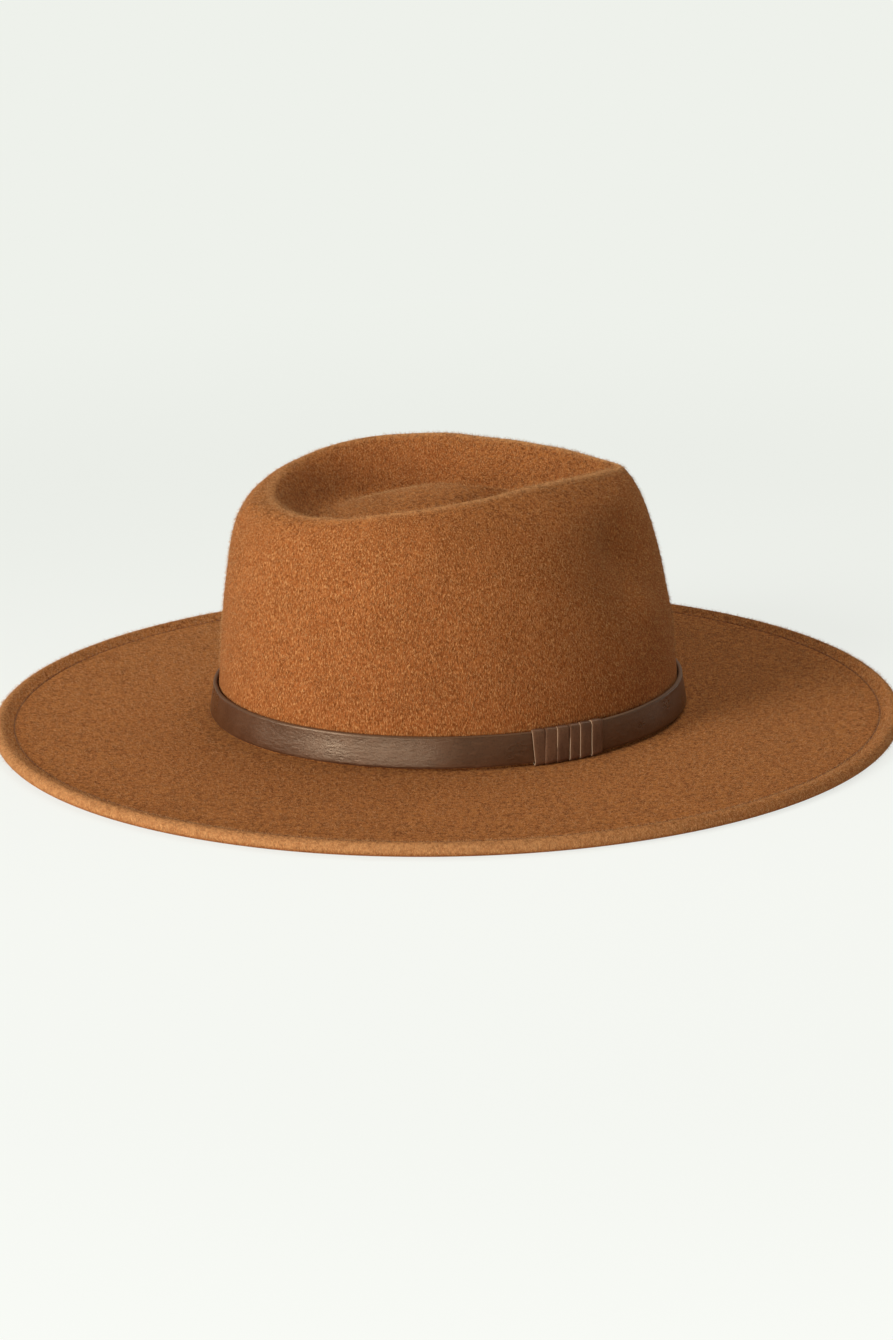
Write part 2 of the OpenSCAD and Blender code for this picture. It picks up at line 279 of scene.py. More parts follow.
COLOURS = {"data_type": "RGBA"}
SMOOTH = {"interpolation_type": "SMOOTHSTEP"}
ADD = {"operation": "ADD"}
MULTIPLY = {"operation": "MULTIPLY"}
MULTIPLY_ADD = {"operation": "MULTIPLY_ADD"}
MAXIMUM = {"operation": "MAXIMUM"}
LENGTH = {"operation": "LENGTH"}
STRIP_UV = {"uv_map": "along_across"}


# Finishes


@dataclass(frozen=True)
class WoolFelt:
    """Blocked and brushed wool felt: a dry, soft grain of light and dark fibres, partly their own tones and
    partly painted light on raised fibres and painted shade in hollows, and a pale bloom on its folds and
    rolled edge, partly rubbed wear and partly painted highlight.

    The fibres are drawn about half a millimetre across, coarser than wool, so that the picture can show them.
    """

    name: str = "brushed_wool_felt"
    base: str = "9E5A2D"
    dark_and_shade: str = "67340F"
    pale: str = "CF935A"
    tuft: str = "BA7438"
    # The bloom colour paints the pale bloom, partly rubbed wear and partly painted highlight, and tints the
    # sheen.
    bloom_and_highlight: str = "DAA168"
    clump_mm: float = 16.0
    tuft_mm: float = 1.9
    grain_mm: float = 0.6
    fibre_mm: float = 0.45
    fibre_length: float = 2.8
    wall_loft: float = 0.2
    flat_loft: float = 0.85
    relief_mm: float = 0.3

    def build(self) -> Material:
        """Lays tufts, dark grain and pale fibres, longer up the crown than across it, over slow clumps.

        Each layer follows the relief's own noise: raised tufts and fibres are painted paler, a painted light,
        and hollows and low grain darker, a painted shade. The tufts and their hollows are stronger on level
        faces.
        """
        s = NodeSheet(self.name)
        where = s.add("TexCoord", out="Object")
        brushed = s.add("Mapping", Vector=where, Scale=(1.0, 1.0, 1.0 / self.fibre_length))
        turned = s.add("Mapping", Vector=brushed, Location=(0.31, 0.17, 0.23), Rotation=(0.7, 0.4, 1.1))
        clump = s.noise(where, self.clump_mm)
        tuft = s.noise(where, self.tuft_mm, 3.0, 0.7)
        grain = s.noise(brushed, self.grain_mm, 3.0, 0.65)
        fibre = s.noise(turned, self.fibre_mm, 2.0, 0.6)
        upward = s.add("SeparateXYZ", Vector=s.add("NewGeometry", out="Normal"), out="Z")
        lofts = {"To_Min": self.wall_loft, "To_Max": self.flat_loft}
        loft = s.add("MapRange", Value=upward, From_Min=0.5, From_Max=0.95, **lofts)
        # Painted light and shade: each layer lays a paler tone where its noise stands up in the relief and a
        # darker one where it sinks, over the fibres' own mixed tones.
        layers = (
            (s.ramp(tuft, 0.45, 0.6, high=loft), self.tuft),
            (s.ramp(tuft, 0.5, 0.38, high=loft), self.dark_and_shade),
            (s.ramp(grain, 0.58, 0.34, high=0.8), self.dark_and_shade),
            (s.ramp(fibre, 0.49, 0.7, high=0.8), self.pale),
        )
        colour = s.blend(s.ramp(clump, 0.3, 0.7, high=0.22), self.base, self.dark_and_shade)
        for share, tone in layers:
            colour = s.blend(share, colour, tone)
        # The pale bloom read from the rub attribute is partly rubbed wear and partly painted highlight.
        uneven = s.add("MapRange", Value=tuft, From_Min=0.3, From_Max=0.7, To_Min=0.3)
        rubbed = s.add("MapRange", Value=s.attribute("rub_and_highlight"), To_Max=uneven)
        height = s.add("Math", ADD, i0=s.add("Math", ADD, i0=fibre, i1=grain), i1=tuft)
        felt = s.add(
            "BsdfPrincipled",
            Base_Color=s.blend(rubbed, colour, self.bloom_and_highlight),
            Roughness=0.95,
            Specular_IOR_Level=0.08,
            Sheen_Weight=0.3,
            Sheen_Roughness=0.3,
            Sheen_Tint=linear(self.bloom_and_highlight),
            Normal=s.bump(height, self.relief_mm),
        )
        return s.finish(felt)


@dataclass(frozen=True)
class WoolFibre:
    """Single wool fibres: pale, soft and dull, no two of quite the same tone."""

    name: str = "loose_wool_fibre"
    deep: str = "A86C3A"
    pale: str = "E3B27A"

    def build(self) -> Material:
        """Tones each fibre by its own random number."""
        s = NodeSheet(self.name)
        colour = s.blend(s.attribute("tone"), self.deep, self.pale)
        return s.finish(s.add("BsdfPrincipled", Base_Color=colour, Roughness=0.95, Specular_IOR_Level=0.0))


@dataclass(frozen=True)
class StrapLeather:
    """Vegetable-tanned strap leather with a waxed face: a broad soft sheen, pores, creases, dull cut edges.

    Pores and creases are drawn a few times coarser than real ones, so that the picture can show them.
    """

    name: str
    face: str
    deep: str
    worn: str
    edge: str
    pit: str = "1C0F07"
    wax: float = 0.85
    wax_tint: str = "FFDEBA"
    ior: float = 1.5
    gloss: Span = (0.26, 0.36)
    edge_rough: float = 0.75
    rub_dulls: float = 0.1
    patch_mm: float = 14.0
    pore_mm: float = 1.1
    crease_mm: float = 1.4
    crease_share: float = 2.6
    fray_mm: float = 1.2
    relief_mm: float = 0.03

    def build(self) -> Material:
        """Tints the face in patches, creases it on a slant, and tones the edges by their attribute."""
        s = NodeSheet(self.name)
        where = s.add("UVMap", STRIP_UV)
        slant = s.add("Mapping", Vector=where, Rotation=(0.0, 0.0, -0.6), Scale=(0.35, 1.0, 1.0))
        patch = s.noise(where, self.patch_mm, 1.5, 0.5)
        crease = s.noise(slant, self.crease_mm, 2.0, 0.6)
        fray = s.noise(where, self.fray_mm)
        pore = s.add("TexVoronoi", Vector=where, Scale=per_mm(self.pore_mm))
        edge = s.attribute("edge")
        rubbed = s.ramp(crease, 0.5, 0.75, high=0.3)
        raw = s.add("Math", MULTIPLY, i0=edge, i1=s.ramp(fray, 0.25, 0.6, low=0.75))
        colour = s.blend(s.ramp(patch, 0.25, 0.7), self.deep, self.face)
        colour = s.blend(rubbed, colour, self.worn)
        colour = s.blend(s.ramp(pore, 0.5, 0.1, high=0.35), colour, self.pit)
        waxed = s.ramp(patch, 0.25, 0.75, *self.gloss)
        waxed = s.add("Math", MULTIPLY_ADD, i0=rubbed, i1=self.rub_dulls, i2=waxed)
        height = s.add("Math", MULTIPLY_ADD, i0=crease, i1=self.crease_share, i2=pore)
        leather = s.add(
            "BsdfPrincipled",
            Base_Color=s.blend(raw, colour, self.edge),
            IOR=self.ior,
            Roughness=s.add("Mix", Factor=edge, A=waxed, B=self.edge_rough),
            Specular_IOR_Level=self.wax,
            Specular_Tint=linear(self.wax_tint),
            Normal=s.bump(height, self.relief_mm),
        )
        return s.finish(leather)


@dataclass(frozen=True)
class Grosgrain:
    """Woven grosgrain ribbon: cross ribs that catch the light, over a fine warp."""

    name: str = "grosgrain_ribbon"
    base: str = "5A3B26"
    deep: str = "3E2717"
    warp_mm: float = 0.5
    patch_mm: float = 6.0
    relief_mm: float = 0.05

    def build(self) -> Material:
        """Paints shade into the valleys between the ribs, by the rib attribute, and adds the warp as fine
        lines across them.
        """
        s = NodeSheet(self.name)
        where = s.add("UVMap", STRIP_UV)
        scale = per_mm(self.warp_mm) / np.pi
        warp = s.add("TexWave", {"bands_direction": "Y"}, "Fac", Vector=where, Scale=scale, Distortion=0.6)
        # Painted shade: the rib attribute darkens the valleys between the ribs.
        colour = s.blend(s.ramp(s.attribute("edge"), 0.0, 0.8), self.deep, self.base)
        dull = s.ramp(s.noise(where, self.patch_mm), 0.3, 0.7, high=0.3)
        ribbon = s.add(
            "BsdfPrincipled",
            Base_Color=s.blend(dull, colour, self.deep),
            Roughness=0.62,
            Specular_IOR_Level=0.3,
            Sheen_Weight=0.15,
            Normal=s.bump(warp, self.relief_mm),
        )
        return s.finish(ribbon)


@dataclass(frozen=True)
class SewingThread:
    """Twisted polyester sewing thread: a slight lustre broken by the slanting plies."""

    name: str = "polyester_thread"
    base: str = "8C562F"
    deep: str = "6B401F"
    ply_mm: float = 0.7
    relief_mm: float = 0.06

    def build(self) -> Material:
        """Draws the plies as slanting bands along each stitch, with painted shade in the grooves between
        them.
        """
        s = NodeSheet(self.name)
        where = s.add("UVMap", STRIP_UV)
        scale = per_mm(self.ply_mm) / np.pi
        ply = s.add("TexWave", {"bands_direction": "DIAGONAL"}, "Fac", Vector=where, Scale=scale)
        # Painted shade: the grooves between the plies, low in the relief, are coloured darker.
        thread = s.add(
            "BsdfPrincipled",
            Base_Color=s.blend(ply, self.deep, self.base),
            Roughness=0.6,
            Specular_IOR_Level=0.35,
            Normal=s.bump(ply, self.relief_mm),
        )
        return s.finish(thread)


@dataclass(frozen=True)
class DrawnMetal:
    """Drawn wire or tube: bright metal with fine lines and dull streaks along it."""

    name: str
    base: str
    rough: float
    tarnish: str = "4A453F"
    streak_mm: float = 0.8

    def build(self) -> Material:
        """Varies tone and gloss in fine streaks."""
        s = NodeSheet(self.name)
        streak = s.noise(s.add("TexCoord", out="Object"), self.streak_mm)
        metal = s.add(
            "BsdfPrincipled",
            Base_Color=s.blend(s.ramp(streak, 0.3, 0.7, high=0.25), self.base, self.tarnish),
            Metallic=1.0,
            Roughness=s.ramp(streak, 0.3, 0.7, self.rough, self.rough + 0.15),
        )
        return s.finish(metal)


@dataclass(frozen=True)
class PaperSweep:
    """Matt seamless paper under the hat: near white, with a painted fall-off of light that makes it a little
    greyer towards the back.

    The two reaches are in metres: where the tone goes from front to back, and where the shadow fades out.
    """

    name: str = "matt_paper"
    base: str = "F3F5F0"
    front: str = "FBFDF8"
    back: str = "EEF1EB"
    glow: float = 0.76
    tone_reach: Span = (-0.25, 0.45)
    shadow_reach: Span = (0.4, 0.8)
    tooth_mm: float = 3.0
    relief_mm: float = 0.02

    def build(self) -> Material:
        """Shows camera and mirror-like rays mostly the paper's pale tone, with the hat's shadow near it."""
        s = NodeSheet(self.name)
        where = s.add("TexCoord", out="Object")
        paper = s.add(
            "BsdfPrincipled",
            Base_Color=linear(self.base),
            Roughness=0.9,
            Specular_IOR_Level=0.1,
            Normal=s.bump(s.noise(where, self.tooth_mm, 2.0), self.relief_mm),
        )
        # Painted fall-off of light: the glow's tone goes from the front colour to the back colour.
        depth = s.add("SeparateXYZ", Vector=where, out="Y")
        tone = s.blend(s.ramp(depth, *self.tone_reach), self.front, self.back)
        ray = s.add("LightPath", out="Is Camera Ray")
        seen = s.add("Math", MAXIMUM, i0=ray, i1=ray.node.outputs["Is Glossy Ray"])
        seen = s.add("Math", MAXIMUM, i0=seen, i1=ray.node.outputs["Is Transmission Ray"])
        away = s.add("VectorMath", LENGTH, "Value", i0=where)
        share = s.add("Math", MULTIPLY, i0=seen, i1=s.ramp(away, *self.shadow_reach, low=self.glow))
        pale = s.add("Emission", Color=tone, Strength=1.0)
        return s.finish(s.add("MixShader", i0=share, i1=paper, i2=pale))


# The hat


@dataclass(frozen=True)
class HatForm:
    """The hat's sizes in millimetres and the curves that all its pieces share."""

    head_length: float = 201.0
    head_width: float = 166.0
    felt: float = 2.0
    break_radius: float = 1.5
    brim_length: float = 404.0
    brim_width: float = 352.0
    brim_rise: float = 2.2
    welt_width: float = 12.0
    stitch_inset: float = 9.0
    fold_gap: float = 0.3
    front_height: float = 106.0
    side_height: float = 110.5
    back_height: float = 99.0
    tip_front: float = 77.5
    tip_back: float = 78.0
    tear_half_width: float = 60.0
    front_lean: float = 11.0
    side_lean: float = 12.0
    back_lean: float = 7.0
    most_lean: float = 0.95
    pinch_depth: float = 8.0
    dent_depth: float = 24.0
    dome_height: float = 14.0
    hollow_radius: float = 1.0
    bead_width: float = 8.0
    ribbon: float = 0.75
    ribbon_gap: float = 0.25
    dent_middle: Span = (6.0, 0.0)
    dent_wall_back: float = 22.0
    dent_wall_front: float = 40.0
    most_foot: float = 0.8
    dent_front_share: float = 0.65
    dent_fullness: float = 0.88
    dome_fullness: float = 0.7
    fold_crispness: float = 0.04
    tip_sharpness: float = 1.07
    tip_round: float = 0.06
    shoulder_back: float = 5.0
    shoulder_front: float = 3.25
    pinch_angle: float = 40.0
    pinch_spread: float = 20.0
    pinch_level: float = 0.72
    pinch_reach: float = 0.22

    @property
    def crown(self) -> Span:
        """Half axes of the crown's base, outside."""
        grow = self.ribbon + self.ribbon_gap + self.felt
        return self.head_length / 2 + grow, self.head_width / 2 + grow

    @property
    def roll(self) -> float:
        """Outer radius of the rolled brim edge."""
        return self.hollow_radius + self.felt

    @property
    def stitched_z(self) -> float:
        """Height of the brim's upper face at the stitching."""
        return 2 * self.felt + self.fold_gap

    @property
    def break_z(self) -> float:
        """Height of the brim's upper face at the crown."""
        return self.stitched_z + self.brim_rise

    @property
    def lap(self) -> float:
        """Width of the brim's edge zone, which follows the outline."""
        return self.welt_width + 2.0

    @staticmethod
    def oval(a: float, b: float, t: Array) -> Array:
        """Point of an oval: a cos t, b sin t."""
        return np.stack([a * np.cos(t), b * np.sin(t)], -1)

    @staticmethod
    def oval_out(a: float, b: float, t: Array) -> Array:
        """Outward direction of an oval: b cos t, a sin t, made unit long."""
        return unit(np.stack([b * np.cos(t), a * np.sin(t)], -1))

    @staticmethod
    def front_share(t: Array) -> Array:
        """1 at the front, 0 at the back."""
        return (1 + np.cos(t)) / 2

    def around(self, front: float, side: float, back: float, t: Array) -> Array:
        """A value that is set at the front, the sides and the back."""
        return mix(back, front, self.front_share(t)) + (side - (front + back) / 2) * np.sin(t) ** 2

    def outward(self, t: Array) -> Array:
        """Outward direction of the crown's base."""
        return self.oval_out(*self.crown, t)

    def tear(self, t: Array) -> Array:
        """Half width of a teardrop: sin t times a power of the distance from its tip."""
        return np.sin(t) * ((1 - np.cos(t)) / 2 + self.tip_round) ** (self.tip_sharpness / 2)

    def rim_xy(self, t: Array) -> Array:
        """Plan of the crown's rim, a teardrop with its tip in front."""
        widest = self.tear(np.radians(np.arange(0, 181, 2))).max()
        x = (self.tip_front - self.tip_back) / 2 + (self.tip_front + self.tip_back) / 2 * np.cos(t)
        return np.stack([x, self.tear_half_width * self.tear(t) / widest], -1)

    def rim_height(self, t: Array) -> Array:
        """Height of the rim above the brim."""
        return self.around(self.front_height, self.side_height, self.back_height, t)

    def shoulder(self, t: Array) -> Array:
        """Squareness of the crown's shoulder."""
        return mix(self.shoulder_back, self.shoulder_front, self.front_share(t) ** 4)

    def pinch(self, t: Array, level: Array) -> Array:
        """Depth of the two front pinches: a bell in angle times a bell in height, eased out at the rim."""
        angle = np.degrees(np.abs(np.arctan2(np.sin(t), np.cos(t))))
        bell = np.exp(-(((angle - self.pinch_angle) / self.pinch_spread) ** 2))
        reach = np.exp(-(((level - self.pinch_level) / self.pinch_reach) ** 2))
        reach = reach * ease((1 - level) / self.pinch_reach)
        return self.pinch_depth * bell * reach

    def shoulder_stop(self, t: Array) -> Array:
        """Where the shoulder's superellipse stops, 1 being its level top."""
        return 1 - self.fold_crispness * self.front_share(t)

    @staticmethod
    def round_in(level: Array, m: Array) -> Array:
        """A superellipse's run inwards, from 0 at its foot to 1 at its top."""
        return 1 - np.maximum(0, 1 - level**m) ** (1 / m)

    def wall_xy(self, t: Array, level: Array) -> Array:
        """Plan point of the wall at a share of the rim's height.

        A straight lean plus a superellipse shoulder, which stops short of level at the front so that the
        rim is a fold.
        """
        base = self.oval(*self.crown, t)
        inward = self.rim_xy(t) - base
        lean = self.around(self.front_lean, self.side_lean, self.back_lean, t)
        lean = np.minimum(lean / np.linalg.norm(inward, axis=-1), self.most_lean)
        m = self.shoulder(t)
        stop = self.shoulder_stop(t)
        rounding = self.round_in(stop * level, m) / self.round_in(stop, m)
        share = lean * level + (1 - lean) * rounding
        return base + inward * share[..., None] - self.pinch(t, level)[..., None] * self.outward(t)

    def wall_level(self, t: Array, run: Array) -> Array:
        """Share of the rim's height where the shoulder is in by a share of its run: round_in inverted."""
        m, stop = self.shoulder(t), self.shoulder_stop(t)
        return (1 - (1 - run * self.round_in(stop, m)) ** m) ** (1 / m) / stop

    def wall(self, t: Array, level: Array) -> Array:
        """Point of the wall at a share of the rim's height."""
        return lift(self.wall_xy(t, level), self.break_z + self.rim_height(t) * level)

    def wall_at(self, t: Array, z: Array) -> Array:
        """Plan point of the wall at a height."""
        return self.wall_xy(t, np.maximum(0, z - self.break_z) / self.rim_height(t))

    def beside(self, t: Array, z: Array, out: Array) -> Array:
        """Point at a height and a distance outside the crown's wall."""
        t, z, out = np.broadcast_arrays(t, z, out)
        return lift(self.wall_at(t, np.maximum(z, self.break_z)) + out[..., None] * self.outward(t), z)

    def dent(self, t: Array, way: Array) -> Array:
        """Point of the dent: eased down from the rim, at 0, to the valley, at 1, and up a dome, to 2."""
        rim = self.rim_xy(t)
        run = np.asarray(self.dent_middle) - rim
        fore = self.front_share(t) ** 3
        wall_run = mix(self.dent_wall_back, self.dent_wall_front, fore)
        foot = np.minimum(wall_run / np.linalg.norm(run, axis=-1), self.most_foot)
        down_way, up_way = np.minimum(way, 1), np.maximum(0, way - 1)
        share = foot * down_way + (1 - foot) * up_way
        depth = self.dent_depth * (1 - (1 - self.dent_front_share) * fore)
        rise = depth - self.dent_depth + self.dome_height
        down = depth * ease(down_way**self.dent_fullness) - rise * ease(up_way**self.dome_fullness)
        height = mix(self.rim_height(t), self.side_height, ease(down_way))
        return lift(rim + run * share[..., None], self.break_z + height - down)

    def brim_in(self, t: Array, inset: Array) -> Array:
        """Plan point at a distance inside the brim's outline."""
        a, b = self.brim_length / 2, self.brim_width / 2
        return self.oval(a, b, t) - inset[..., None] * self.oval_out(a, b, t)

    def bead_z(self, inset: Array) -> Array:
        """Upper face near the edge: eased up from the stitching onto the roll."""
        rise = 1 - ease((inset - self.roll) / (self.bead_width - self.roll))
        return mix(self.stitched_z, 2 * self.roll, rise)

    def bend(self, t: Array, angle: Array, radius: float) -> Array:
        """Point of the bend between crown and brim: an arc outside the wall's foot."""
        foot = self.wall_at(t, np.full_like(t, self.break_z + self.break_radius))
        out = self.break_radius - radius * np.cos(angle)
        height = self.break_z + self.break_radius - radius * np.sin(angle)
        return lift(foot + out[..., None] * self.outward(t), height)

    def brim_out(self, t: Array, share: Array, drop: float) -> Array:
        """Point of the flat brim, straight from the bend to the edge zone, a drop under its upper face."""
        start = self.bend(t, np.full_like(t, np.pi / 2), self.break_radius)[..., :2]
        end = self.brim_in(t, np.full_like(t, self.lap))
        return lift(mix(start, end, share[..., None]), self.break_z - self.brim_rise * share - drop)


@dataclass
class FeltBody:
    """Crown, brim and turned-under edge in one shell of felt.

    Each hollow has an angle in degrees, a share of the rim's height, a depth and a radius.
    """

    form: HatForm
    finish: Material
    steps: int = 256
    groove_half: float = 0.9
    groove_depth: float = 0.5
    dome_rows: int = 26
    slope_rows: int = 30
    shoulder_rows: int = 46
    foot_rows: int = 19
    bend_rows: int = 7
    brim_rows: int = 34
    roll_rows: int = 45
    # The rub fields shape a pale bloom that is partly rubbed wear and partly painted highlight, strongest on
    # the side that faces the lamps.
    rub_and_highlight_width: float = 2.2
    back_rub_and_highlight: float = 0.35
    roll_rub_and_highlight: float = 0.6
    lit_side_at: float = -140.0
    lit_side_least: float = 0.3
    ripple_depth: float = 0.22
    ripple_from: float = 24.0
    ripple_fade: float = 20.0
    hollows: tuple[tuple[float, float, float, float], ...] = (
        (43, 0.74, 3.2, 12),
        (37, 0.5, -2.4, 10),
        (117, 0.76, -1.4, 22),
    )

    @property
    def angles(self) -> Array:
        """The oval angles of the mesh's columns."""
        return full_turn(self.steps)

    @property
    def rim_row(self) -> int:
        """The ring on the rim, which is the wall's first."""
        return self.dome_rows + self.slope_rows - 2

    def rings(self, rows: Array, maker: Callable[[Array, Array], Array]) -> Array:
        """Rings of a surface: maker(angle, row value) over the whole grid."""
        return maker(*np.meshgrid(self.angles, rows))

    def ripple(self, p: Array) -> Array:
        """Slight hand-blocked unevenness: a sum of slow sine waves over the surface, in millimetres."""
        x, y, z = p[..., 0], p[..., 1], p[..., 2]
        wave = (
            np.sin(x / 13.0 + z / 17.0 + 0.7) * np.sin(y / 11.0 - z / 23.0 + 1.9)
            + 0.7 * np.sin(x / 7.5 - y / 9.5 + 2.3) * np.sin(z / 8.5 + y / 15.0)
            + 0.5 * np.sin(y / 5.6 + z / 6.3 + 0.4) * np.sin(x / 6.1 + 1.1)
        )
        faded = ease((z - self.ripple_from) / self.ripple_fade)
        return self.ripple_depth * wave * faded + self.hand_shape(p)

    def hand_shape(self, p: Array) -> Array:
        """Hollows and swells that hands leave on both sides: a bell over the distance from each middle."""
        moved = np.zeros(p.shape[:-1])
        for angle, level, depth, radius in self.hollows:
            for side in (-1, 1):
                middle = self.form.wall(np.radians([side * angle]), np.array([level]))
                moved -= depth * np.exp(-np.sum((p - middle[0]) ** 2, -1) / radius**2)
        return moved

    def rubbed(self, skin: Array, edge_rows: int) -> tuple[Array, Array]:
        """How far the felt is made pale along the rim's fold and the brim's rolled edge: partly rubbed nap,
        partly a painted highlight on the fold's lip and on the side that faces the lamps.

        A bell over the distance from the fold, weaker at the back, and an ease over the edge's rings,
        stronger on the side that faces the lamps, which is painted highlight.

        Args:
            skin: the crown's outer rings.
            edge_rows: rings of the edge zone.

        Returns:
            A value from 0 to 1 for each point of the skin, and for each point of the edge.
        """
        run = np.cumsum(np.linalg.norm(np.diff(skin, axis=0, prepend=skin[:1]), axis=-1), axis=0)
        fold = np.exp(-(((run - run[self.rim_row]) / self.rub_and_highlight_width) ** 2))
        row = np.arange(edge_rows)
        roll = self.roll_rub_and_highlight * ease((row - 12) / 26.0) * ease((self.roll_rows + 5 - row) / 8.0)
        facing = ease((np.cos(self.angles - np.radians(self.lit_side_at)) - 0.1) / 0.7)
        fold = fold * mix(self.back_rub_and_highlight, 1, self.form.front_share(self.angles))
        return fold, roll[:, None] * mix(self.lit_side_least, 1, facing)

    def edge_profile(self) -> tuple[Array, Array]:
        """The edge in section, as insets from the outline and heights.

        From the stitched face over the bead, round the roll, back along the underside of the welt, round its
        cut edge, along its inside, round the wire's hollow and back under the brim.
        """
        f, g, d = self.form, self.groove_half, self.groove_depth
        across = np.linspace(1, -1, 13)
        press = np.cos(across * np.pi / 2) ** 2 * d
        bead = np.linspace(f.stitch_inset - g - 0.15, f.roll + 0.1, 16)
        turn = np.radians(np.linspace(90, -90, 28))
        hollow = np.radians(np.linspace(-90, 90, 14))
        cut = np.radians(np.linspace(-90, 90, 8))
        half = f.felt / 2
        under = np.linspace(f.roll + 0.2, f.bead_width, 7)
        back = np.linspace(f.bead_width + 0.6, f.lap, 5)
        inset = [f.stitch_inset + across * g, bead, f.roll - f.roll * np.cos(turn)]
        height = [f.stitched_z - press, f.bead_z(bead), f.roll + f.roll * np.sin(turn)]
        inset += [np.linspace(f.roll + 0.8, f.stitch_inset - g - 0.2, 6), f.stitch_inset - across * g]
        height += [np.zeros(6), press]
        welt = f.welt_width - half
        inset += [welt + half * np.cos(cut), np.linspace(welt - 1, f.roll + 0.6, 6)]
        height += [half + half * np.sin(cut), np.full(6, f.felt)]
        inset += [f.roll - f.hollow_radius * np.cos(hollow), under, back]
        height += [f.roll + f.hollow_radius * np.sin(hollow), f.bead_z(under) - f.felt]
        height += [np.full(5, f.stitched_z - f.felt)]
        return np.concatenate(inset), np.concatenate(height)

    def crown_skins(self) -> tuple[Array, Array]:
        """Rings of the crown's outer skin, from the dent's middle to the wall's foot, and of its lining.

        The lining is the outer skin moved in by the felt's thickness along a normal taken over ten rings, so
        that it stays even inside the folded rim.

        Returns:
            The outer rings and, in the same order but half as many, the lining's.
        """
        f = self.form
        t = self.angles
        dome = 1 + np.linspace(0.97, 0.0, self.dome_rows) ** 1.15
        slope = np.linspace(1.0, 0.0, self.slope_rows)[1:-1] ** 1.2
        tt, runs = np.meshgrid(t, np.linspace(1.0, 0.03, self.shoulder_rows) ** 2)
        level = f.wall_level(tt, runs)
        level = np.concatenate([level, level[-1:] * np.linspace(1.0, 0.05, self.foot_rows)[1:, None]])
        dent = self.rings(np.concatenate([dome, slope]), f.dent)
        skin = np.concatenate([dent, f.wall(np.broadcast_to(t, level.shape), level)])
        round_way = np.roll(skin, -1, 1) - np.roll(skin, 1, 1)
        row = np.arange(len(skin))
        spread = [skin[np.minimum(row + k, row[-1])] - skin[np.maximum(row - k, 0)] for k in (1, 5)]
        inward, soft_inward = (unit(np.cross(round_way, down)) for down in spread)
        skin = skin - inward * self.ripple(skin)[..., None]
        return skin, (skin + soft_inward * f.felt)[1::2]

    def brim_face(self, drop: float) -> Array:
        """Rings of the brim, a drop under its upper face, from the bend to the edge zone."""
        shares = np.linspace(0, 1, self.brim_rows)[1:]
        return self.rings(shares, lambda t, share: self.form.brim_out(t, share, drop))

    def edge(self) -> Array:
        """Rings of the edge zone, in the order of its profile."""
        inset, height = self.edge_profile()
        return self.rings(np.arange(len(inset)), lambda t, k: lift(self.form.brim_in(t, inset[k]), height[k]))

    def bend(self, radius: float) -> Array:
        """Rings of the bend from crown to brim."""
        angles = np.radians(np.linspace(0, 90, self.bend_rows))
        return self.rings(angles, lambda t, angle: self.form.bend(t, angle, radius))

    def build(self) -> Piece:
        """Stacks the rings from the dent's middle out over rim, wall, brim and edge, and back inside.

        Returns:
            The felt piece.
        """
        f = self.form
        skin, lining = self.crown_skins()
        under = [self.brim_face(f.felt)[-2::-1], self.bend(f.break_radius + f.felt)[::-1], lining[::-1]]
        edge = self.edge()
        over = np.concatenate([skin, self.bend(f.break_radius), self.brim_face(0.0)])
        rings = np.concatenate([over, edge, *under])
        rows = len(rings)
        middle = f.dent(np.zeros(1), np.full(1, 2.0))
        points = np.concatenate([rings.reshape(-1, 3), middle, middle - [0, 0, f.felt]])
        i = np.arange(self.steps)
        k = (i + 1) % self.steps
        tip = rows * self.steps
        last = (rows - 1) * self.steps
        first_fan = np.stack([np.full_like(i, tip), i, k], -1)
        last_fan = np.stack([np.full_like(i, tip + 1), last + k, last + i], -1)
        faces = [grid_faces(rows, self.steps), first_fan, last_fan]
        piece = make_piece("felt_shell", points, faces, self.finish)
        # The rub attribute paints the pale bloom: partly rubbed wear, partly painted highlight.
        rub_and_highlight = np.zeros((rows, self.steps))
        fold, roll = self.rubbed(skin, len(edge))
        rub_and_highlight[: len(skin)] = fold
        rub_and_highlight[len(over) : len(over) + len(roll)] = roll
        add_attribute(piece, "rub_and_highlight", np.append(rub_and_highlight.ravel(), [0.0, 0.0]))
        return mount(piece, Body.HAT, Slot.FELT, "felt_body")


